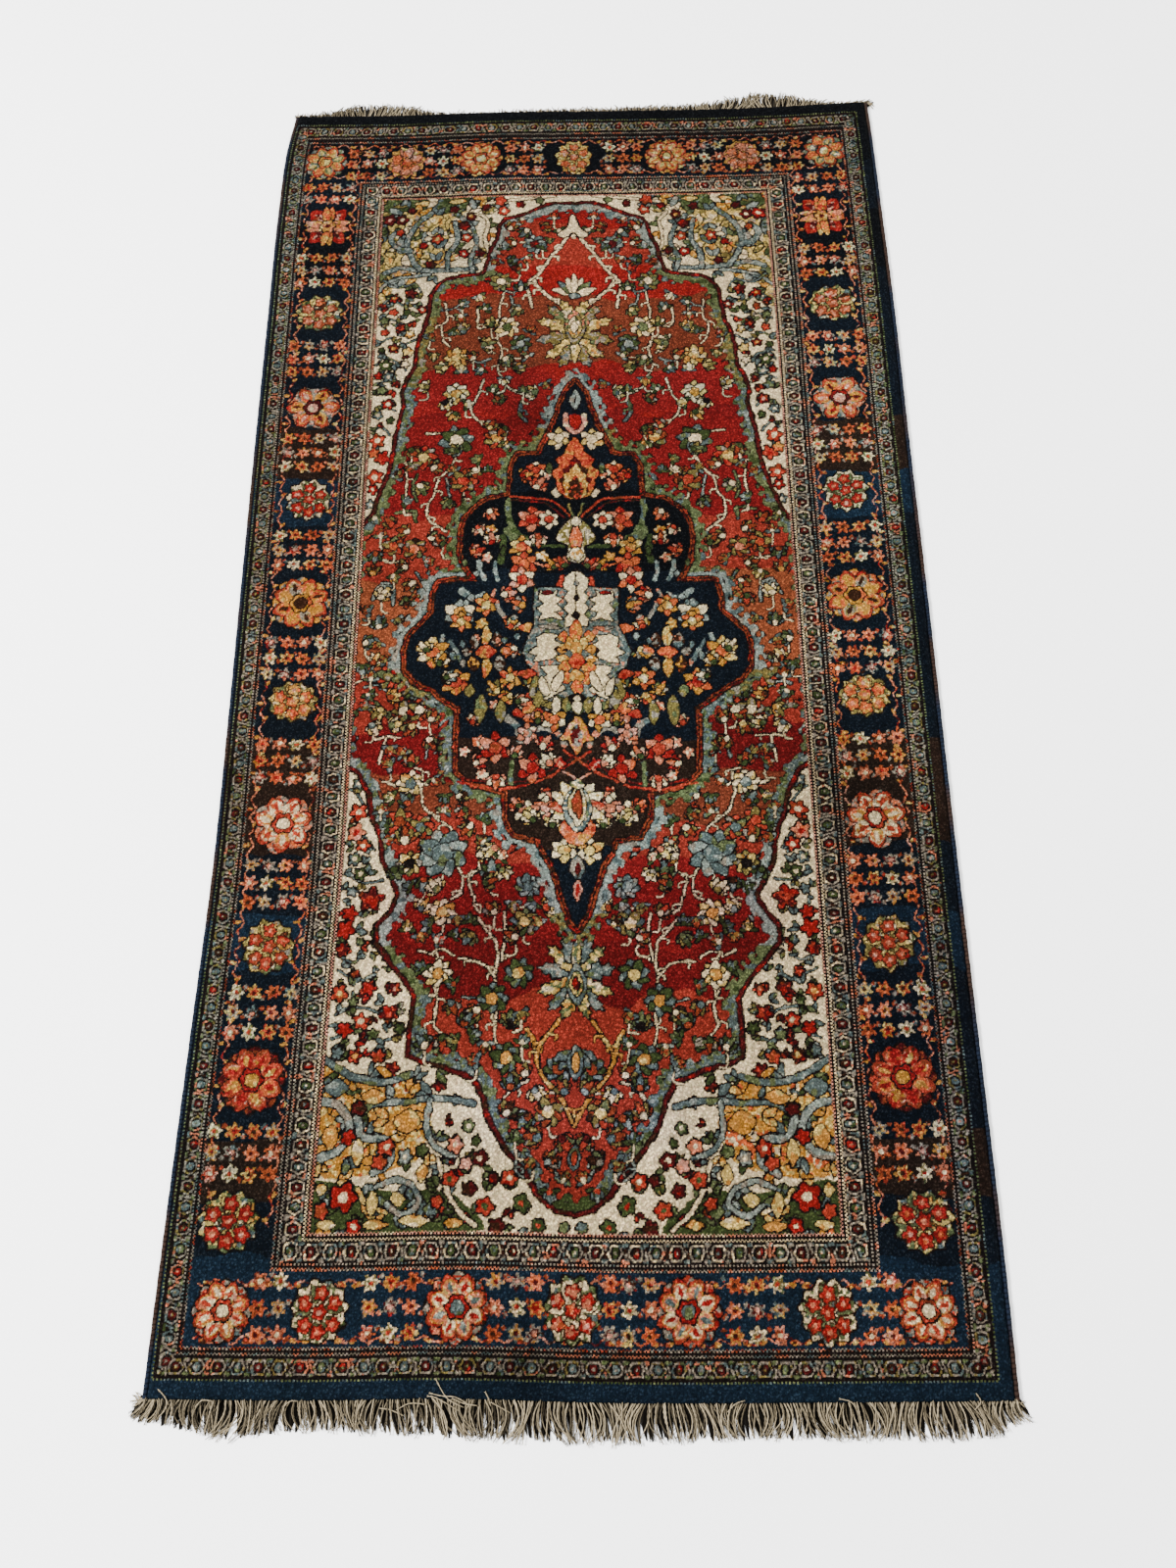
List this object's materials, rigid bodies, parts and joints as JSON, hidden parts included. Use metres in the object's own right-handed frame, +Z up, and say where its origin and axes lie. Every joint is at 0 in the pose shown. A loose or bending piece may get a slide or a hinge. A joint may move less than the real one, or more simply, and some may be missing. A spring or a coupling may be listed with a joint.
{
  "type": "oriental rug",
  "caption": "Flat rectangular pile rug with overcast side edges and a cream fringe at each end, for laying on a floor.",
  "frame": {"origin": "on the floor under the middle of the rug's outline, fringes included", "axes": "+X across the rug to its right side, +Y along the rug from its front end to its back end, +Z up out of the pile"},
  "size_m": [0.93, 1.9096, 0.0094],
  "materials": {
    "wool_pile": "short wool pile, matte with a soft sheen",
    "overcast_wool": "navy wool yarn wound over a cord, matte",
    "cotton_strands": "undyed twisted cotton, matte"
  },
  "bodies": {
    "root": {"rug_body": "wool_pile", "selvedge_left": "overcast_wool", "selvedge_right": "overcast_wool", "fringe_front": "cotton_strands", "fringe_back": "cotton_strands"}
  },
  "joints": []
}
